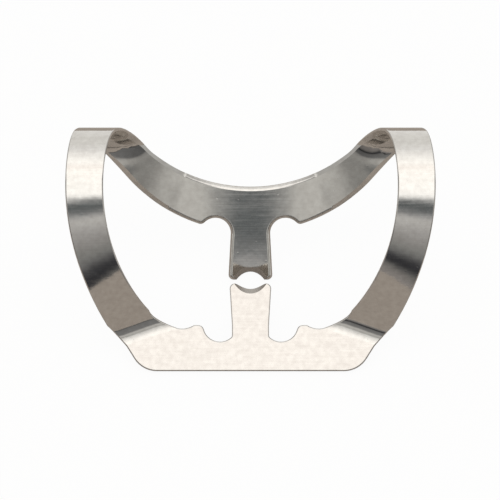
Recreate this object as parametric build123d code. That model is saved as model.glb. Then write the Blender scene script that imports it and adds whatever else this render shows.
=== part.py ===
from build123d import *
from math import asin, cos, degrees, radians, sin, sqrt
import os

# A rubber dam clamp with two bows, stamped from one piece of spring steel sheet and bent.
# Bench frame used while drawing: X to the right, Y from the front jaw to the back jaw,
# Z along the tooth towards the bows. The face that is outside on the bows is the outer face.

# Driving dimensions, in millimetres and degrees
sheet = 0.6             # thickness of the steel
edge_roll = 0.35        # the punch rolls the edges of the inner face over by this much

# Front jaw
front_lean = 8.0        # the plate leans away from the bows
plate_drop = 4.0        # from the shoulder to the straight lower edge
plate_half = 9.4        # half the lower edge, to where the flank would meet it
plate_corner = 2.3      # round of the lower corners
front_neck = 3.2        # width of the prong at its root
front_tip = 3.65        # width of the prong at its end
front_reach = 3.65      # from the shoulder to the end of the prong
front_notch = 1.45      # radius of the forceps notch
front_undercut = 0.4    # it reaches this far under the prong's side
shoulder_land = 0.8     # straight edge from the notch to the shoulder
shoulder_dip = 0.28     # hollow of the upper edge between the shoulder and the bend
dip_run = 1.4           # width of that hollow
flank_out = 1.35        # the flank spreads by this much on its way up to the bend
bend_drop = 1.85        # the outer end of the bend lies this far below the shoulder
bend_radius = 2.6       # radius of the bend on the outer face

# Bows
leg_angle = 43.0        # slope of the leg where it leaves the bend
leg_radius = 18.6       # the leg arches in a long curve
crest_radius = 3.9      # the bow turns over in a short curve
plan_x = -5.15          # centre of the leg's curve, seen along the tooth
plan_y = 12.07
plan_outer = 21.0       # radius of the leg's outer edge in that view
leg_width = 3.24        # from there to its inner edge
crest_shift = 0.95      # the outer edge moves in by this much up to the top of the crest
crest_squeeze = 0.35    # the inner edge moves in by this much more
sweep_outer = 1.5       # above one, the outer edge moves in late on its way down to the arm
sweep_inner = 1.0       # the same for the inner edge
bend_slide_in = 1.85    # the inner edge moves out by this much along the bend, most of it early
bend_slide_out = 1.0    # the outer edge moves out by this much

# Back jaw
back_lean = 9.0         # the plate leans towards the bows
back_depth = 4.57       # its inner face at back_level lies this far behind the shoulder
back_level = 10.42
arm_flat = 2.4          # half of the flat middle
arm_radius = 22.0       # the arms curve towards the bows
arc_upper = 14.0        # radius of the arms' upper edge, seen along the tooth
arc_upper_y = 26.07     # level of its centre
arc_lower = 14.55       # radius of their lower edge
arc_lower_y = 22.65     # level of its centre
arm_ratio = 0.78        # the upper edge turns this much while the lower edge turns one
arm_joint = 30.0        # the jaw ends and the bow begins at this angle of the lower edge
arm_end = 50.0          # the arm goes over into the crest at this angle
back_neck = 3.46        # width of the prong at its root
back_tip = 3.9          # width of the prong at its end
back_end = 3.9          # level of the prong's end
back_notch = 1.35       # radius of the forceps notch, which runs into the prong's side
back_notch_y = 7.99     # level of its centre
stock = 8.0             # half the height of the blocks that the jaw is cut from

# Ends of the prongs
tip_round = 0.45        # round of the prong's corners
notch_round = 0.5       # round of the notch's corners
root_round = 0.3        # round between the notch and the front prong
grind_radius = 1.8      # radius of the wheel that hollows the prong's end
grind_width = 3.6       # width of the wheel
front_bite = 0.9        # depth of the hollow on the front prong
front_grind = 39.0      # slope of its bevel
back_bite = 1.26        # depth of the hollow on the back prong
back_grind = 47.0       # slope of its bevel

# Search for the rest pose
least_tilt = 20.0       # too little: the back prong still hangs lower than the front jaw
most_tilt = 60.0        # too much: the front jaw hangs lower

near = 1e-3             # two points closer than this are the same


def section(outer, inner, ahead):
    """A slice across the strip, bevelled where the edges of the inner face are rolled over."""
    across = inner - outer
    out = ahead.cross(across).normalized()
    plane = Plane(origin=(outer + inner) * 0.5, x_dir=across, z_dir=across.cross(out))
    half = across.length / 2
    flat = half - edge_roll
    lip = edge_roll - sheet
    rim = Polyline(
        (-half, lip), (-half, 0), (half, 0), (half, lip), (flat, -sheet), (-flat, -sheet), close=True)
    return plane * make_face(rim)


def slices(place, steps):
    """Slices at some steps of a path that gives the strip's outer and inner edge."""
    faces = []
    for step in steps:
        outer, inner = place(step)
        before = place(step - near)
        after = place(step + near)
        ahead = after[0] + after[1] - before[0] - before[1]
        faces.append(section(outer, inner, ahead))
    return faces


def corners_at(outline, x, y):
    """The two corners of a symmetric outline at this place."""
    return outline.vertices().filter_by(lambda v: abs(abs(v.X) - x) < near and abs(v.Y - y) < near)


# Front jaw: a flat plate with a prong between two forceps notches
front_tilt = radians(front_lean)
front_up = Vector(0, cos(front_tilt), -sin(front_tilt))
front_out = Vector(0, sin(front_tilt), cos(front_tilt))
front_plane = Plane((0, 0, 0), x_dir=(1, 0, 0), z_dir=front_out)
front_notch_x = front_neck / 2 + front_notch - front_undercut
shoulder_x = front_notch_x + front_notch + shoulder_land
bend_in = shoulder_x + dip_run
bend_low = (plate_half + flank_out, -bend_drop)
bend_high = (bend_in, -shoulder_dip)


def front_outline():
    shoulder = (shoulder_x, 0)
    dip = ((bend_in + shoulder_x) / 2, -shoulder_dip)
    edge = Polyline((0, -plate_drop), (plate_half, -plate_drop), bend_low, bend_high)
    half = Curve() + [edge, Spline(bend_high, dip, shoulder), Line(shoulder, (0, 0))]
    outline = make_face(half + mirror(half, about=Plane.YZ))
    for side in (1, -1):
        outline -= Pos(side * front_notch_x, 0) * Circle(front_notch)
    root = -plate_drop / 2
    neck = front_neck / 2
    tip = front_tip / 2
    flank = Polyline((0, root), (neck, root), (neck, 0), (tip, front_reach), (0, front_reach))
    outline += make_face(flank + mirror(flank, about=Plane.YZ))
    outline = fillet(corners_at(outline, plate_half, -plate_drop), plate_corner)
    outline = fillet(corners_at(outline, tip, front_reach), tip_round)
    outline = fillet(corners_at(outline, front_notch_x + front_notch, 0), notch_round)
    root_y = -sqrt(front_notch**2 - (front_notch_x - neck)**2)
    return fillet(corners_at(outline, neck, root_y), root_round)


def grinding_wheel(end, along, out, bite, slope):
    """A cylinder whose cut is deepest on the face that out points away from."""
    lean = radians(slope)
    axis = out * cos(lean) - along * sin(lean)
    centre = end + along * (grind_radius / cos(lean) - bite)
    return Plane(centre, x_dir=(1, 0, 0), z_dir=axis) * Cylinder(grind_radius, grind_width)


def roll_edges(jaw, height_of, is_joint):
    """Round the edges around the inner face, apart from the joints and the seams."""
    def is_rim(edge):
        points = [edge @ t for t in (0, 0.25, 0.5, 0.75, 1)]
        return all(abs(height_of(p)) < near for p in points) and not is_joint(edge @ 0.5)

    return fillet(jaw.edges().filter_by(is_rim), edge_roll)


def make_front_jaw():
    jaw = extrude(front_plane * front_outline(), amount=-sheet)
    joint_along = (Vector(*bend_low) - Vector(*bend_high)).normalized()

    def height(point):
        return front_plane.to_local_coords(point).Z + sheet

    def on_joint(point):
        local = front_plane.to_local_coords(point)
        aside = joint_along.cross(Vector(abs(local.X), local.Y) - Vector(*bend_high)).length
        return aside < near and abs(local.X) > bend_in

    jaw = roll_edges(jaw, height, on_joint)
    end = front_up * front_reach
    return jaw - grinding_wheel(end, front_up, front_out, front_bite, front_grind)


front_jaw = make_front_jaw()

# Back jaw: a curved band with a longer prong
back_tilt = radians(back_lean)
back_up = Vector(0, cos(back_tilt), sin(back_tilt))
back_face = Vector(0, -sin(back_tilt), cos(back_tilt))
back_origin = Vector(0, back_level, -back_depth)
back_plane = Plane(back_origin, x_dir=(1, 0, 0), z_dir=back_up)
back_notch_x = back_neck / 2 + back_notch


def arm_lift(x, deep=0.0):
    """How far the inner face, or one that lies deep below it, has come towards the bows."""
    run = max(abs(x) - arm_flat, 0)
    return arm_radius - sqrt((arm_radius + deep)**2 - run**2)


def arm_point(x, y, deep=0.0):
    """The point of that face that is seen at this place along the tooth."""
    lift = arm_lift(x, deep)
    rise = (y - back_level + lift * sin(back_tilt)) / cos(back_tilt)
    return Vector(x, y, rise * sin(back_tilt) + lift * cos(back_tilt) - back_depth)


def arm_plan(turn):
    """Lower and upper edge of the arm, seen along the tooth."""
    low = radians(turn)
    high = radians(turn * arm_ratio)
    lower = Vector(arc_lower * sin(low), arc_lower_y - arc_lower * cos(low))
    upper = Vector(arc_upper * sin(high), arc_upper_y - arc_upper * cos(high))
    return lower, upper


def back_outline():
    joint = arm_joint * arm_ratio
    upper = CenterArc((0, arc_upper_y), arc_upper, 270 - joint, 2 * joint)
    lower = CenterArc((0, arc_lower_y), arc_lower, 270 - arm_joint, 2 * arm_joint)
    ends = [Line(upper @ 0, lower @ 0), Line(upper @ 1, lower @ 1)]
    outline = make_face(Curve() + [upper, lower] + ends)
    neck = back_neck / 2
    tip = back_tip / 2
    root = sum(arm_plan(0), Vector()).Y / 2
    flank = Polyline(
        (0, root), (back_notch_x, root), (back_notch_x, back_notch_y),
        (neck, back_notch_y), (tip, back_end), (0, back_end))
    outline += make_face(flank + mirror(flank, about=Plane.YZ))
    for side in (1, -1):
        outline -= Pos(side * back_notch_x, back_notch_y) * Circle(back_notch)
    outline = fillet(corners_at(outline, tip, back_end), tip_round)
    joint_x = arm_plan(arm_joint)[0].X
    bumps = outline.vertices().filter_by(
        lambda v: back_notch_x < abs(v.X) < joint_x - near and v.Y < back_notch_y + back_notch)
    return fillet(bumps, notch_round)


def make_back_jaw():
    joint_low, joint_high = arm_plan(arm_joint)
    joint_along = (joint_high - joint_low).normalized()
    swing = 2 * degrees(asin((joint_low.X - arm_flat) / arm_radius))
    arm_centre = (arm_flat, -arm_radius)
    inner = CenterArc(arm_centre, arm_radius, 90 - swing, swing)
    outer = CenterArc(arm_centre, arm_radius + sheet, 90 - swing, swing)
    lines = [Line((0, 0), inner @ 1), Line(inner @ 0, outer @ 0), Line(outer @ 1, (0, sheet))]
    half = Curve() + [inner, outer] + lines
    band = extrude(back_plane * make_face(half + mirror(half, about=Plane.YZ)), amount=stock, both=True)
    prism = extrude(Pos(0, 0, -back_depth) * back_outline(), amount=stock, both=True)
    jaw = band & prism

    def height(point):
        local = back_plane.to_local_coords(point)
        return local.Y + arm_lift(local.X)

    def on_joint(point):
        aside = joint_along.cross(Vector(abs(point.X), point.Y) - joint_low).length
        seam = abs(abs(point.X) - arm_flat)
        return min(aside, seam) < near

    jaw = roll_edges(jaw, height, on_joint)
    end = arm_point(0, back_end)
    return jaw - grinding_wheel(end, -back_up, back_face, back_bite, back_grind)


back_jaw = make_back_jaw()

# Bow: up from the bend, over the crest and down into the back jaw's arm
bend_turn = leg_angle + front_lean
bend_start = front_plane.from_local_coords(Vector(*bend_low))
bend_stop = front_plane.from_local_coords(Vector(*bend_high))
bend_along = (bend_start - bend_stop).normalized()
bend_up = front_out.cross(bend_along)


def bend_place(turn):
    """Edges of the strip when the bend has turned it by so many degrees."""
    angle = radians(turn)
    share = turn / bend_turn
    early = sin(radians(90 * share))
    step = bend_up * (bend_radius * sin(angle)) + front_out * (bend_radius * (1 - cos(angle)))
    outer = bend_start + step + bend_along * (bend_slide_out * share)
    inner = bend_stop + step + bend_along * (bend_slide_in * early)
    return outer, inner


leg_foot = sum(bend_place(bend_turn), Vector()) * 0.5
leg_slope = radians(leg_angle)
top_y = leg_foot.Y + leg_radius * sin(leg_slope)
top_z = leg_foot.Z + leg_radius * (1 - cos(leg_slope))
plan_radii = (plan_outer, plan_outer - leg_width)


def plan_edge(radius, y):
    """Edge of the leg, seen along the tooth."""
    return plan_x + sqrt(radius**2 - (y - plan_y)**2)


def leg_place(turn):
    """Edges of the leg at an angle below zero; the foot's slant fades out on the way up."""
    edges = []
    for radius, foot in zip(plan_radii, bend_place(bend_turn)):
        points = []
        for angle in (radians(turn), -leg_slope):
            y = top_y + leg_radius * sin(angle)
            z = top_z - leg_radius * (1 - cos(angle))
            points.append(Vector(plan_edge(radius, y), y, z))
        edges.append(points[0] + (foot - points[1]) * (turn / leg_angle)**2)
    return edges


def crest_place(turn):
    """Edges of the strip where it turns over, from zero to ninety degrees."""
    angle = radians(turn)
    y = top_y + crest_radius * sin(angle)
    z = top_z - crest_radius * (1 - cos(angle))
    edges = []
    for radius, shift in zip(plan_radii, (crest_shift, crest_shift + crest_squeeze)):
        lead = (top_y - plan_y) / radius * crest_radius
        late = shift - lead * radians(90)
        edges.append(Vector(plan_edge(radius, top_y) - lead * angle - late * (turn / 90)**2, y, z))
    return edges


def arm_place(turn):
    """Edges of the back jaw's arm; the angle from the middle counts down to zero."""
    return [arm_point(edge.X, edge.Y, sheet) for edge in arm_plan(-turn)]


def over_place(turn):
    """Edges of the strip from the top of the crest down to the arm."""
    angle = radians(turn)
    edges = []
    for start, end, sweep in zip(crest_place(90), arm_place(-arm_end), (sweep_outer, sweep_inner)):
        span = end - start
        edges.append(Vector(
            start.X + span.X * (turn / 90)**sweep,
            start.Y + span.Y * (1 - cos(angle)),
            start.Z + span.Z * sin(angle)))
    return edges


def face_near(solid, point):
    return solid.faces().sort_by(lambda f: (f.center() - point).length)[0]


def make_bow():
    front_joint = face_near(front_jaw, (bend_start + bend_stop - front_out * sheet) * 0.5)
    back_joint = face_near(back_jaw, sum(arm_place(-arm_joint), Vector()) * 0.5)
    arm_run = arm_end - arm_joint
    bend = [front_joint] + slices(bend_place, [bend_turn * k for k in (0.25, 0.5, 0.75, 1)])
    bow = bend[-1:] + slices(leg_place, [-leg_angle * k for k in (0.92, 0.83, 0.72, 0.6, 0.48, 0.35, 0.18)])
    bow += slices(crest_place, (0, 22, 45, 68, 90)) + slices(over_place, (22, 45, 68))
    bow += slices(arm_place, [-arm_joint - arm_run * k for k in (1, 0.75, 0.5, 0.25, 0.1)])
    return [loft(bend), loft(bow + [back_joint])]


right_bow = make_bow()
left_bow = [mirror(piece, about=Plane.YZ) for piece in right_bow]
bench_clamp = front_jaw.fuse(back_jaw, *right_bow, *left_bow)

# Rest: the clamp stands on the front jaw's lower edge and on the tips of the back prong


def lowest(solid, tilt):
    return (Rot(tilt, 0, 0) * solid).bounding_box().min.Z


flat, steep = least_tilt, most_tilt
while steep - flat > near:
    tilt = (flat + steep) / 2
    if lowest(front_jaw, tilt) < lowest(back_jaw, tilt):
        steep = tilt
    else:
        flat = tilt
standing = Rot(flat, 0, 0) * bench_clamp
box = standing.bounding_box()
clamp = Pos(-box.center().X, -box.center().Y, -box.min.Z) * standing

os.makedirs("parts", exist_ok=True)
export_step(clamp, "parts/clamp.step")
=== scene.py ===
# %% [markdown]
# # A rubber dam clamp
# The clamp is one strip of stainless spring steel, punched out, bent over two bows and tumbled until it
# shines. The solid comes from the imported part. This file gives it true normals, broken edges, a steel
# finish, a floor, a room to mirror and a camera.

# %% Load the part
from math import cos, pi, radians, sin

import bpy
import numpy as np
from mathutils import Matrix, Vector


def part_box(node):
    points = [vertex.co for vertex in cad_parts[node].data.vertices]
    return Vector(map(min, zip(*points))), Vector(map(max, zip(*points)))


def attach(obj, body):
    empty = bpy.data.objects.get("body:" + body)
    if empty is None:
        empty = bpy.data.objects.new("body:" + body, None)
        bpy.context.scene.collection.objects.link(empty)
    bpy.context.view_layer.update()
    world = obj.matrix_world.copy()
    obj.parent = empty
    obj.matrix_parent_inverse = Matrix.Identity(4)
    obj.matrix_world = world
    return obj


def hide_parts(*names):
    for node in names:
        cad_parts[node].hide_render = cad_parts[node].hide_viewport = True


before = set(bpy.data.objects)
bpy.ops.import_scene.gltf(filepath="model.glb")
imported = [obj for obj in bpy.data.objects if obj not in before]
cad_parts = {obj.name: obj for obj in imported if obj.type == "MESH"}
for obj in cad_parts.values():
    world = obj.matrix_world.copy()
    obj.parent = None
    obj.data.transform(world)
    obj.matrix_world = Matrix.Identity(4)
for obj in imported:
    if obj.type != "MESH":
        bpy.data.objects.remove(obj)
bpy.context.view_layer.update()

MM = 0.001
low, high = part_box("clamp")
print("clamp", [round((b - a) / MM, 2) for a, b in zip(low, high)], "mm")

# %% [markdown]
# ## The drawing's own frame
# The clamp stands on the lower edge of its front jaw and on the tips of the back prong, so everything
# that was drawn along the tooth is tipped by one angle. The camera looks along the tooth, so the light
# is worked out in that frame, and the sheet is easier to work on there too, in millimetres.

# %% Tipped frame
TILT = radians(38.583)                                  # from the drawing's frame to the standing one
SHOULDER = Vector((0, -5.4565, 2.4223))                 # where the drawing's origin stands, in millimetres
STAND = Matrix.Scale(MM, 4) @ Matrix.Translation(SHOULDER) @ Matrix.Rotation(TILT, 4, "X")
FRONT_LEAN = radians(8)                                 # the front plate leans by this much
FRONT_OUT = np.array((0, sin(FRONT_LEAN), cos(FRONT_LEAN)))
print("drawing's origin at", [round(v, 2) for v in SHOULDER], "mm")

# %% [markdown]
# ## Small helpers
# One function turns the hex colours of a paint chart into the linear values that the shader wants, and
# one adds a node with its settings and links.

# %% Helpers


def linear(hex_colour):
    """An sRGB hex colour as linear RGBA."""
    channels = [int(hex_colour[i:i + 2], 16) / 255 for i in (1, 3, 5)]
    return [c / 12.92 if c <= 0.04045 else ((c + 0.055) / 1.055) ** 2.4 for c in channels] + [1.0]


def add(tree, kind, links=None, values=None, **settings):
    """A node with its settings, the values of its sockets and the outputs that feed them."""
    node = tree.nodes.new(kind)
    for name, value in settings.items():
        setattr(node, name, value)
    for name, value in (values or {}).items():
        node.inputs[name].default_value = value
    for name, output in (links or {}).items():
        tree.links.new(output, node.inputs[name])
    return node


def stops(ramp, rows):
    """Fills a colour ramp with colours at these places."""
    elements = ramp.color_ramp.elements
    while len(elements) < len(rows):
        elements.new(1.0)
    # All places come first, because a ramp may sort its stops when one is moved.
    for element, (place, colour) in zip(elements, rows):
        element.position = place
    for element, (place, colour) in zip(elements, rows):
        element.color = (*colour, 1)


def unit(rows):
    """Vectors scaled to length one."""
    return rows / np.maximum(np.linalg.norm(rows, axis=-1, keepdims=True), 1e-12)


# %% [markdown]
# ## The surfaces of the sheet
# Polished steel shows every fault of a mesh's normals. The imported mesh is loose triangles, one island
# for each surface of the solid, and its corners lie exactly on those surfaces. So a small curved patch
# is fitted through each corner and its neighbours on the same island, and the patch gives the true
# normal. Averaged face normals, the usual way, leave flames along the bows.

# %% Read the surfaces


def read_surfaces():
    """Corners in the drawing's millimetres, triangles, the island of each corner and its shared place."""
    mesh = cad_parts["clamp"].data
    points = np.empty(len(mesh.vertices) * 3)
    mesh.vertices.foreach_get("co", points)
    back = np.array(STAND.inverted())
    points = points.reshape(-1, 3) @ back[:3, :3].T + back[:3, 3]
    faces = np.array([face.vertices for face in mesh.polygons])
    island = np.arange(len(points))
    while True:
        lowest = island[faces].min(axis=1)
        merged = island.copy()
        for corner in range(3):
            np.minimum.at(merged, faces[:, corner], lowest)
        if (merged == island).all():
            break
        island = merged
    place = np.unique(points.round(3), axis=0, return_inverse=True)[1].reshape(-1)
    a, b, c = place[faces].T
    return points, faces[(a != b) & (b != c) & (c != a)], island, place


points, faces, island, place = read_surfaces()
print(len(faces), "triangles on", len(set(island)), "surfaces")

# %% True normals
NEIGHBOURS = 8          # a patch takes at least so many corners
CURVED = 0.2            # below one, a patch with few corners is rather tilted than curved
BROAD = 0.8             # millimetres; on narrower surfaces the mean of the faces is the better normal
ON_PLATE = 0.001        # millimetres; a corner of the front plate is no further off its plane
FACING = 0.98           # and its normal has at least this much along the plate's


def face_normals():
    a, b, c = (points[faces[:, i]] for i in range(3))
    return np.cross(b - a, c - a)


def island_widths():
    """The mean width of each island: twice its area by the length of its rim."""
    area = np.bincount(island[faces[:, 0]], np.linalg.norm(face_normals(), axis=1) / 2, len(points))
    edges = np.concatenate([faces[:, [0, 1]], faces[:, [1, 2]], faces[:, [2, 0]]])
    kinds, used = np.unique(np.sort(edges, axis=1), axis=0, return_counts=True)
    rim = kinds[used == 1]
    length = np.linalg.norm(points[rim[:, 0]] - points[rim[:, 1]], axis=1)
    return 2 * area / np.maximum(np.bincount(island[rim[:, 0]], length, len(points)), 1e-9)


def fitted_normals():
    """The normal of the curved patch through each corner and its neighbours on the same island."""
    normals = np.zeros_like(points)
    for corner in range(3):
        np.add.at(normals, faces[:, corner], face_normals())
    normals = unit(normals)
    broad = island_widths()[island] > BROAD
    touching = [set() for _ in points]
    for face in faces.tolist():
        for corner in face:
            touching[corner].update(face)
    for corner in np.flatnonzero(broad).tolist():
        patch = set().union(*(touching[other] for other in touching[corner]))
        if len(patch) < NEIGHBOURS:
            patch = set().union(*(touching[other] for other in patch))
        near = points[sorted(patch - {corner})] - points[corner]
        for _ in range(2):
            up = normals[corner]
            side = unit(np.cross(up, np.eye(3)[np.abs(up).argmin()]))
            ahead = np.cross(up, side)
            reach = np.sqrt((near ** 2).sum(1).mean())
            u, v, height = near @ side / reach, near @ ahead / reach, near @ up / reach
            terms = np.stack([u, v, CURVED * u * u, CURVED * u * v, CURVED * v * v], axis=1)
            weight = 1 / (1 + u * u + v * v)
            slope = np.linalg.lstsq(terms * weight[:, None], height * weight, rcond=1e-6)[0]
            normals[corner] = unit(up - slope[0] * side - slope[1] * ahead)
    return normals


normals = fitted_normals()
flat = np.abs(points @ FRONT_OUT) < ON_PLATE
plate = flat & (normals @ FRONT_OUT > FACING)
print("front plate's corners", plate.sum(), "worst", round(float((normals[plate] @ FRONT_OUT).min()), 5))

# %% [markdown]
# ## Where surfaces meet
# Some surfaces flow into each other, such as the plate into its rolled edge, and some meet at a real
# edge. Where two normals at one place are close, the corner of the smaller surface takes the normal of
# the larger one, so that the mirror runs through. The surfaces that flow on from the front plate are
# the sheet's outer face.

# %% Shared normals
FLOWS = cos(radians(18))        # surfaces that turn less than this flow into each other
at_place = [[] for _ in range(place.max() + 1)]
for corner, spot in enumerate(place.tolist()):
    at_place[spot].append(corner)


def share_normals():
    area = np.bincount(island[faces[:, 0]], np.linalg.norm(face_normals(), axis=1), len(points))
    for corners in at_place:
        corners.sort(key=lambda corner: -area[island[corner]])
        for i, small in enumerate(corners):
            for large in corners[:i]:
                if normals[small] @ normals[large] > FLOWS or not normals[small].any():
                    normals[small] = normals[large]
                    break


def outer_face():
    """The islands that the front plate flows into."""
    found = set()
    wider = {int(np.bincount(island[plate]).argmax())}
    while wider != found:
        found = set(wider)
        meets, flows = {}, {}
        for corners in at_place:
            for one in corners:
                for two in corners:
                    if island[one] in found and island[two] not in found:
                        other = int(island[two])
                        meets[other] = meets.get(other, 0) + 1
                        flows[other] = flows.get(other, 0) + (normals[one] @ normals[two] > FLOWS)
        wider |= {other for other in meets if flows[other] > meets[other] / 2}
    return found


share_normals()
skin = outer_face()
print("outer face of", len(skin), "surfaces")

# %% [markdown]
# ## Crowned jaw
# By its reflections the flat middle of the back jaw is not quite flat: it seems hollow across and
# drooping along the prong, by less than a tenth of a millimetre. The solid is flat there, and only the
# normals are turned here.

# %% Crowned jaw
HOLLOW = radians(1.1)       # turn for each millimetre across
DROOP = radians(2.4)        # turn at the prong's tip
EVEN = 0.8                  # millimetres over which the joints of the jaw run out
JAW_TOP = -2.0              # the jaw lies below this height of the drawing
JAW_FRONT = 3.5             # and behind this
FACES_UP = 0.5              # its upper side has at least this much along the tooth in its normal
FLAT_HALF = 2.4             # half the width of the flat middle
HOLLOW_END = 7.5            # distance from the middle where the hollow has run out
DROOP_END = 4.0             # and where the droop has
PRONG_ROOT = 9.5            # the droop starts here
PRONG_REACH = 4.3           # and is full so much further


def jaw_corners():
    """Corners of the back jaw's upper side, which is the sheet's inner face."""
    inner = (island_widths()[island] > BROAD) & ~np.isin(island, list(skin))
    behind = (points[:, 2] < JAW_TOP) & (points[:, 1] > JAW_FRONT)
    return np.flatnonzero(inner & behind & (normals[:, 2] > FACES_UP))


def crown_jaw():
    """Evens the normals of the jaw out over its joints, tips them and gives their number."""
    jaw = jaw_corners()
    apart = np.linalg.norm(points[jaw][:, None] - points[jaw][None], axis=2)
    normals[jaw] = unit(np.exp(-(apart / EVEN) ** 2) @ normals[jaw])
    x, y = points[jaw, 0], points[jaw, 1]
    aside = np.abs(x)
    across = np.clip(x, -FLAT_HALF, FLAT_HALF)
    across *= np.clip((HOLLOW_END - aside) / (HOLLOW_END - FLAT_HALF), 0, 1)
    along = np.clip((PRONG_ROOT - y) / PRONG_REACH, 0, 1)
    along *= np.clip((DROOP_END - aside) / (DROOP_END - FLAT_HALF), 0, 1)
    tip = np.stack([-HOLLOW * across, -DROOP * along, np.zeros_like(x)], axis=1)
    normals[jaw] = unit(normals[jaw] + tip)
    return len(jaw)


print("crowned", crown_jaw(), "corners")

# %% [markdown]
# ## Broken edges
# Tumbling takes the sharp corner off every punched edge, and that narrow round is the thin line that
# outlines the clamp. The Bevel modifier folds the thin triangles along the curved rims, so the round is
# made here: along the rim each corner is drawn back on the face and on the wall, and two narrow strips
# close the gap between them.

# %% Broken edges
BREAK = 0.11            # millimetres taken off the face and off the wall
UPRIGHT = 0.35          # a wall whose normal has less than this along the face's normal is a punched one
CLOSE = 6 * BREAK       # a wall's corner this near to the rim may have to make room
ROUNDS = 9              # most passes over the folded triangles


def unfold(triangles, moved):
    """Turns the edge between two triangles where drawing the rim back has folded one of them."""
    def area(*corners):
        a, b, c = moved[list(corners)]
        return np.cross(b - a, c - a) @ normals[list(corners)].sum(axis=0)

    for _ in range(ROUNDS):
        owner = {}
        for number, shape in enumerate(triangles):
            for a, b in zip(shape, shape[1:] + shape[:1]):
                owner[a, b] = number
        turned = set()
        for number in [number for number, shape in enumerate(triangles) if area(*shape) <= 0]:
            shape = triangles[number]
            for a, b in zip(shape, shape[1:] + shape[:1]):
                other = owner.get((b, a))
                if other is None or turned & {number, other}:
                    continue
                c = (set(shape) - {a, b}).pop()
                d = (set(triangles[other]) - {a, b}).pop()
                if area(a, d, c) > 0 and area(d, b, c) > 0:
                    triangles[number] = [a, d, c]
                    triangles[other] = [d, b, c]
                    turned |= {number, other}
                    break
        if not turned:
            break


def rim_edges(on_skin):
    """Edges of the outer face with the corners of the wall on their other side."""
    across = {}
    for face in faces[~on_skin].tolist():
        for a, b in zip(face, face[1:] + face[:1]):
            across[place[b], place[a]] = (b, a)
    rim = []
    for face in faces[on_skin].tolist():
        for a, b in zip(face, face[1:] + face[:1]):
            if (place[a], place[b]) in across:
                rim.append((a, b) + across[place[a], place[b]])
    return rim


def make_room(spots, turned, rim):
    """Lowers the wall's corners on the rim, and those close below it so far that they stay below."""
    edge = np.array(list(turned))
    top = spots[edge]
    rise = np.array([turned[spot][1] for spot in turned])
    for spot, corners in enumerate(at_place):
        if spot in rim or not skin.isdisjoint(island[corners]):
            continue
        away = top - spots[spot]
        near = np.linalg.norm(away, axis=1).argmin()
        depth = away[near] @ rise[near]
        if np.linalg.norm(away[near]) < CLOSE and 0 <= depth < 2 * BREAK:
            spots[spot] -= rise[near] * (BREAK - depth / 2)
    spots[edge] -= rise * BREAK


def broken_sheet():
    """Corners, faces and the normal of every face corner, with the outer face's rim rounded."""
    spots = [points[corners[0]] for corners in at_place]
    on_skin = np.isin(island[faces[:, 0]], list(skin))
    rim = rim_edges(on_skin)
    walls = {}
    for a, b, wall_a, wall_b in rim:
        walls.setdefault(place[a], []).append((normals[a], normals[wall_a]))
        walls.setdefault(place[b], []).append((normals[b], normals[wall_b]))
    inset, middle, turned = {}, {}, {}
    for spot, pairs in walls.items():
        up = pairs[0][0]
        if max(abs(up @ wall) for _, wall in pairs) > UPRIGHT:
            continue
        wall = unit(sum(wall for _, wall in pairs))
        out = unit(wall - up * (wall @ up))
        rise = unit(up - wall * (wall @ up))
        start = spots[spot] - out * (BREAK / (wall @ pairs[0][1]))
        centre = start - rise * BREAK
        inset[spot] = (len(spots), up)
        middle[spot] = (len(spots) + 1, unit(out + rise))
        spots += [start, centre + unit(out + rise) * BREAK]
        turned[spot] = (wall, rise)
    spots = np.array(spots)
    make_room(spots, turned, walls)
    number = place.copy()
    for corner in np.flatnonzero(np.isin(island, list(skin))).tolist():
        number[corner] = inset.get(place[corner], [place[corner]])[0]
    triangles = faces.tolist()
    unfold(triangles, spots[number])
    shapes = number[np.array(triangles)].tolist()
    shades = normals[np.array(triangles)].tolist()
    for a, b, wall_a, wall_b in rim:
        rows = []
        for top, side in ((a, wall_a), (b, wall_b)):
            spot = int(place[top])
            if spot in inset:
                rows.append([inset[spot], middle[spot], (spot, turned[spot][0])])
            else:
                rows.append([(spot, normals[top])] * 2 + [(spot, normals[side])])
        for k in range(2):
            quad = [rows[1][k], rows[0][k], rows[0][k + 1], rows[1][k + 1]]
            kept = [corner for i, corner in enumerate(quad) if corner[0] != quad[i - 1][0]]
            if len(kept) > 2:
                shapes.append([corner[0] for corner in kept])
                shades.append([corner[1] for corner in kept])
    return spots, shapes, shades


spots, shapes, shades = broken_sheet()
print("sheet", len(spots), "corners", len(shapes), "faces")

# %% [markdown]
# ## Steel
# Spring steel that was rolled, punched and tumbled: a grey mirror, a little soft. Rolling leaves fine
# lines along the strip, tumbling leaves a faint unevenness and a few small nicks. It has no paint, so
# nearly all of its look is what it reflects, and these marks only bend that reflection.

# %% Steel finish
MARK_WIDTH = 0.12 * MM      # rolling lines, drawn coarser than real so that they show in the picture
MARK_LENGTH = 4.0 * MM
MARK_DEPTH = 0.0005 * MM
WAVE = 1.6 * MM             # unevenness left by tumbling
WAVE_DEPTH = 0.006 * MM
NICK = 0.9 * MM             # distance between the places where a nick may be
NICK_DEPTH = 0.0015 * MM
GRAIN = 0.45 * MM           # haze of tiny scratches, drawn coarser than real
POLISHED = (0.05, 0.1)      # roughness between and on the rolling lines
GROUND = 0.42               # roughness of the ground hollows


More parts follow.
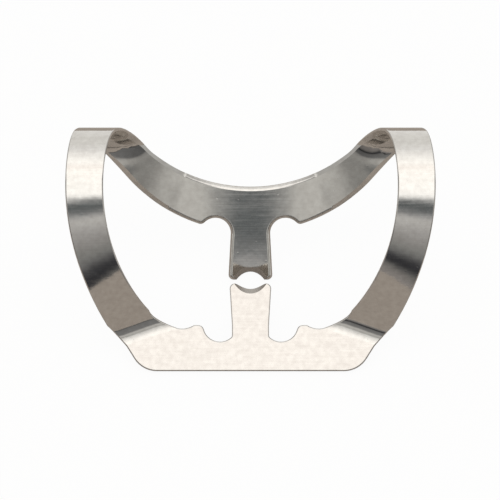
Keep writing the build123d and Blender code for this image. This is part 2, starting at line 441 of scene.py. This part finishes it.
def tumbled_steel():
    steel = bpy.data.materials.new("tumbled_stainless_spring_steel")
    steel.use_nodes = True
    tree = steel.node_tree
    shader = tree.nodes["Principled BSDF"]
    shader.inputs["Metallic"].default_value = 1.0
    where = add(tree, "ShaderNodeTexCoord").outputs["Object"]
    along = add(
        tree, "ShaderNodeMapping", {"Vector": where},
        {"Scale": (1 / MARK_LENGTH, 1 / MARK_WIDTH, 1 / MARK_WIDTH)})
    marks = add(tree, "ShaderNodeTexNoise", {"Vector": along.outputs[0]}, {"Scale": 1.0, "Detail": 3.0})
    waves = add(tree, "ShaderNodeTexNoise", {"Vector": where}, {"Scale": 1 / WAVE, "Detail": 2.0})
    nicks = add(tree, "ShaderNodeTexVoronoi", {"Vector": where}, {"Scale": 1 / NICK})
    dent = add(
        tree, "ShaderNodeMapRange", {"Value": nicks.outputs["Distance"]},
        {"From Min": 0.03, "From Max": 0.12, "To Min": 0.0, "To Max": 1.0}, interpolation_type="SMOOTHSTEP")
    # The lines make the mirror softer here and there, as a rolled face has it.
    rough = add(
        tree, "ShaderNodeMapRange", {"Value": marks.outputs[0]},
        {"From Min": 0.3, "From Max": 0.7, "To Min": POLISHED[0], "To Max": POLISHED[1]})
    # The hollows that grip the tooth are ground after punching, so they stay matt.
    ground = add(tree, "ShaderNodeAttribute", attribute_name="ground")
    matt = add(
        tree, "ShaderNodeMapRange",
        {"Value": ground.outputs["Fac"], "To Min": rough.outputs[0]}, {"To Max": GROUND})
    tree.links.new(matt.outputs[0], shader.inputs["Roughness"])
    # Bare stainless, slightly warm. Between the tiny scratches of tumbling it is a little brighter.
    grain = add(tree, "ShaderNodeTexNoise", {"Vector": where}, {"Scale": 1 / GRAIN, "Detail": 4.0})
    lined = add(
        tree, "ShaderNodeMath", {0: marks.outputs[0], 2: grain.outputs[0]}, {1: 0.4},
        operation="MULTIPLY_ADD")
    haze = add(tree, "ShaderNodeMapRange", {"Value": lined.outputs[0]}, {"From Min": 0.5, "From Max": 0.9})
    tint = add(tree, "ShaderNodeMixRGB", {0: haze.outputs[0]}, {1: linear("#CECBC7"), 2: linear("#DBD9D5")})
    dull = add(
        tree, "ShaderNodeMixRGB", {0: ground.outputs["Fac"], 1: tint.outputs[0]}, {2: linear("#B9B5B1")})
    tree.links.new(dull.outputs[0], shader.inputs["Base Color"])
    # Three heights in metres: tumbling, rolling lines, nicks.
    bump = None
    heights = ((waves, WAVE_DEPTH), (marks, MARK_DEPTH), (dent, NICK_DEPTH))
    for pattern, depth in heights:
        feed = {"Height": pattern.outputs[0]}
        if bump:
            feed["Normal"] = bump.outputs[0]
        bump = add(tree, "ShaderNodeBump", feed, {"Distance": depth, "Strength": 1.0})
    tree.links.new(bump.outputs[0], shader.inputs["Normal"])
    return steel


steel = tumbled_steel()
print("material", steel.name)

# %% [markdown]
# ## The sheet
# The rounded sheet becomes one mesh. It stands where the solid stands, and carries the true normals on
# its corners.

# %% Sheet
HOLLOW_WIDTH = 0.55     # millimetres; a ground hollow is wider than this and narrower than a broad face
CENTRED = 0.2           # and its middle is no further than this to the side


def ground_faces():
    """One for each face of the two hollows that are ground into the prongs, nought for the others."""
    width = island_widths()
    hollow = []
    for number in set(island.tolist()):
        middle = points[island == number, 0].mean()
        if HOLLOW_WIDTH < width[number] < BROAD and abs(middle) < CENTRED:
            hollow.append(number)
    marked = np.zeros(len(shapes))
    marked[:len(faces)] = np.isin(island[faces[:, 0]], hollow)
    print("ground hollows", len(hollow), "faces", int(marked.sum()))
    return marked


def steel_sheet():
    mesh = bpy.data.meshes.new("clamp_sheet")
    mesh.from_pydata([STAND @ Vector(spot) for spot in spots], [], shapes)
    turn = np.array(Matrix.Rotation(TILT, 3, "X"))
    corner_normals = unit(np.array([shade for row in shades for shade in row]) @ turn.T)
    mesh.shade_smooth()
    mesh.normals_split_custom_set(corner_normals.tolist())
    ground = mesh.attributes.new("ground", "FLOAT", "FACE")
    ground.data.foreach_set("value", ground_faces())
    mesh.materials.append(steel)
    piece = bpy.data.objects.new("clamp_sheet", mesh)
    bpy.context.scene.collection.objects.link(piece)
    return piece


sheet = steel_sheet()
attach(sheet, "root")
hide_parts("clamp")
print("sheet", len(sheet.data.polygons), "faces")

# %% [markdown]
# ## Floor
# The clamp stands on a small pale table. The table is shown nearly white to the camera and keeps a part
# of its own shade, so the shadow under the clamp stays. The steel mirrors the table's own grey and the
# dark gap behind its edge.

# %% Floor
TABLE = 0.12            # metres from the middle to the edge
TABLE_WHITE = 0.94      # share of plain white that the camera sees
TABLE_MIRRORED = 0.05   # and the share that the steel sees; more would wash out the legs
TABLE_STEPS = 96        # sides of its round edge


def pale_table():
    paint = bpy.data.materials.new("matt_pale_floor")
    paint.use_nodes = True
    tree = paint.node_tree
    shader = tree.nodes["Principled BSDF"]
    shader.inputs["Roughness"].default_value = 0.9
    shader.inputs["Specular IOR Level"].default_value = 0.1
    path = add(tree, "ShaderNodeLightPath")
    tone = add(
        tree, "ShaderNodeMixRGB", {0: path.outputs["Is Camera Ray"]},
        {1: linear("#B8AEA5"), 2: linear("#FFFFFF")})
    tree.links.new(tone.outputs[0], shader.inputs["Base Color"])
    seen = add(
        tree, "ShaderNodeMath", {0: path.outputs["Is Camera Ray"]}, {1: TABLE_WHITE},
        operation="MULTIPLY")
    mirror = add(
        tree, "ShaderNodeMath", {0: path.outputs["Is Glossy Ray"], 1: path.outputs["Is Transmission Ray"]},
        operation="MAXIMUM")
    share = add(
        tree, "ShaderNodeMath", {0: mirror.outputs[0], 2: seen.outputs[0]}, {1: TABLE_MIRRORED},
        operation="MULTIPLY_ADD")
    white = add(tree, "ShaderNodeEmission", values={"Color": (1, 1, 1, 1), "Strength": 1.0})
    mix = add(tree, "ShaderNodeMixShader", {0: share.outputs[0], 1: shader.outputs[0], 2: white.outputs[0]})
    tree.links.new(mix.outputs[0], tree.nodes["Material Output"].inputs["Surface"])
    mesh = bpy.data.meshes.new("floor")
    turns = [2 * pi * step / TABLE_STEPS for step in range(TABLE_STEPS)]
    edge = [(TABLE * cos(turn), TABLE * sin(turn), 0) for turn in turns]
    mesh.from_pydata(edge, [], [list(range(TABLE_STEPS))])
    mesh.materials.append(paint)
    floor = bpy.data.objects.new("floor", mesh)
    bpy.context.scene.collection.objects.link(floor)
    return floor


pale_table()
print("floor", 2 * TABLE, "m wide")

# %% [markdown]
# ## Studio
# Polished steel shows the room. Seen along the tooth, a broad warm white panel stands round the lens, a
# dark slot is below it, a grey curtain hangs down to a dark gap over the floor, and a pale wall closes
# the far side. The slot is narrow: beside it the curtain runs up to the panel. The camera itself sees
# plain white.

# %% Studio light
# Degrees from the lens towards the top of the picture, and the light that comes from there. The levels
# were set until the steel's bands came about as light and dark as in the photo.
CURTAIN = (
    (-180, 0.3, 0.28, 0.26), (-57, 0.32, 0.3, 0.29), (-54, 0.23, 0.22, 0.21), (-52, 0.12, 0.12, 0.12),
    (-50, 0.03, 0.03, 0.035), (-46.8, 0.06, 0.06, 0.065), (-43.8, 0.19, 0.19, 0.19))
FOLDS = (
    (-41, 0.29, 0.29, 0.28), (-36, 0.37, 0.36, 0.35), (-29.7, 0.5, 0.49, 0.48), (-24.6, 0.65, 0.64, 0.62),
    (-23.5, 0.6, 0.59, 0.58), (-22.3, 0.42, 0.42, 0.42), (-20.8, 0.2, 0.21, 0.215),
    (-19.6, 0.15, 0.16, 0.165), (-18.2, 0.125, 0.14, 0.145), (-17.2, 0.15, 0.16, 0.165),
    (-16, 0.4, 0.4, 0.4), (-15, 0.8, 0.8, 0.79), (-14, 1.3, 1.29, 1.26), (-12.8, 1.52, 1.5, 1.46),
    (10, 1.54, 1.5, 1.44))
BESIDE = (
    (-40, 0.22, 0.22, 0.22), (-29, 0.24, 0.24, 0.24), (-25.5, 0.58, 0.57, 0.55), (-20.5, 0.67, 0.66, 0.63),
    (-16, 0.66, 0.65, 0.62), (-13.5, 0.48, 0.48, 0.47), (-10, 0.36, 0.36, 0.35), (-1, 0.33, 0.33, 0.33),
    (5, 0.8, 0.79, 0.77), (10, 1.3, 1.28, 1.25))
PANEL = (
    (16, 1.41, 1.34, 1.28), (23, 1.5, 1.47, 1.42), (36, 1.34, 1.32, 1.28), (46, 1.2, 1.18, 1.15),
    (61.7, 1.02, 1.01, 0.99), (80, 0.92, 0.91, 0.88), (101.8, 0.92, 0.91, 0.88), (132, 0.98, 0.97, 0.95),
    (180, 0.6, 0.6, 0.6))
# Degrees to either side of the lens: how much the slot gives way to the curtain, and the dark ends of
# the room, low and high.
SIDES = ((0, 0.0), (2, 0.0), (4, 0.14), (8, 0.55), (12, 0.95), (15, 1.0))
ENDS = ((0, 1.0), (22, 1.0), (27, 0.8), (32, 0.5), (42, 0.4), (50, 0.9), (60, 1.3), (90, 1.2))
HIGH_ENDS = ((0, 1.0), (15, 1.0), (30, 0.6), (90, 0.5))
ASKEW = 0.33            # the curtain's hem hangs askew: so many degrees for each degree to the side
HEM = (-42, -30)        # degrees; the hem is askew below the first and straight above the second
HIGH = 15               # degrees; the high ends hold from here


def studio_room():
    world = bpy.data.worlds.new("studio")
    bpy.context.scene.world = world
    world.use_nodes = True
    tree = world.node_tree
    direction = add(tree, "ShaderNodeTexCoord").outputs["Generated"]
    tipped = add(
        tree, "ShaderNodeVectorRotate", {"Vector": direction}, {"Angle": -TILT}, rotation_type="X_AXIS")
    axes = add(tree, "ShaderNodeSeparateXYZ", {0: tipped.outputs[0]})
    turn = add(tree, "ShaderNodeMath", {0: axes.outputs["Y"], 1: axes.outputs["Z"]}, operation="ARCTAN2")
    aside = add(tree, "ShaderNodeMath", {0: axes.outputs["X"]}, operation="ARCSINE")
    hem = add(
        tree, "ShaderNodeMapRange", {"Value": turn.outputs[0]},
        {"From Min": radians(HEM[0]), "From Max": radians(HEM[1]), "To Min": ASKEW, "To Max": 0.0})
    hung = add(
        tree, "ShaderNodeMath", {0: aside.outputs[0], 1: hem.outputs[0], 2: turn.outputs[0]},
        operation="MULTIPLY_ADD")
    height = add(tree, "ShaderNodeMapRange", {"Value": hung.outputs[0]}, {"From Min": -pi, "From Max": pi})
    either = add(tree, "ShaderNodeMath", {0: aside.outputs[0]}, operation="ABSOLUTE")
    width = add(
        tree, "ShaderNodeMapRange", {"Value": either.outputs[0]}, {"From Min": 0.0, "From Max": pi / 2})
    lights = []
    for rows in (CURTAIN + FOLDS + PANEL, CURTAIN + BESIDE + PANEL):
        ramp = add(tree, "ShaderNodeValToRGB", {0: height.outputs[0]})
        stops(ramp, [((row[0] + 180) / 360, row[1:]) for row in rows])
        lights.append(ramp.outputs[0])
    shares = []
    for rows in (SIDES, ENDS, HIGH_ENDS):
        ramp = add(tree, "ShaderNodeValToRGB", {0: width.outputs[0]})
        stops(ramp, [(degrees / 90, (share,) * 3) for degrees, share in rows])
        shares.append(ramp.outputs[0])
    high = add(
        tree, "ShaderNodeMapRange", {"Value": turn.outputs[0]}, {"From Min": 0.0, "From Max": radians(HIGH)})
    walls = add(tree, "ShaderNodeMixRGB", {0: high.outputs[0], 1: shares[1], 2: shares[2]})
    room = add(tree, "ShaderNodeMixRGB", {0: shares[0], 1: lights[0], 2: lights[1]})
    closed = add(
        tree, "ShaderNodeMixRGB", {1: room.outputs[0], 2: walls.outputs[0]}, {0: 1.0}, blend_type="MULTIPLY")
    path = add(tree, "ShaderNodeLightPath")
    shown = add(
        tree, "ShaderNodeMixRGB", {0: path.outputs["Is Camera Ray"], 1: closed.outputs[0]},
        {2: (1, 1, 1, 1)})
    tree.links.new(shown.outputs[0], tree.nodes["Background"].inputs["Color"])
    return world


studio_room()
print("room with", len(CURTAIN + FOLDS + PANEL), "bands")

# %% [markdown]
# ## Camera
# A long lens looks along the tooth, so that both jaws are seen flat.

# %% Camera
DISTANCE = 400.0        # millimetres from the front jaw's plane
SHOWN = 43.4            # width of the picture in that plane
AIM_X = -0.04
AIM_Y = 6.51
SENSOR = 36.0


def long_lens():
    lens = bpy.data.cameras.new("camera")
    lens.sensor_width = SENSOR
    lens.lens = SENSOR * DISTANCE / SHOWN
    lens.clip_start = 0.01
    camera = bpy.data.objects.new("camera", lens)
    camera.location = STAND @ Vector((AIM_X, AIM_Y, DISTANCE))
    camera.rotation_euler = (TILT, 0, 0)
    bpy.context.scene.collection.objects.link(camera)
    bpy.context.scene.camera = camera
    return camera


long_lens()
bpy.context.scene.view_settings.view_transform = "Standard"
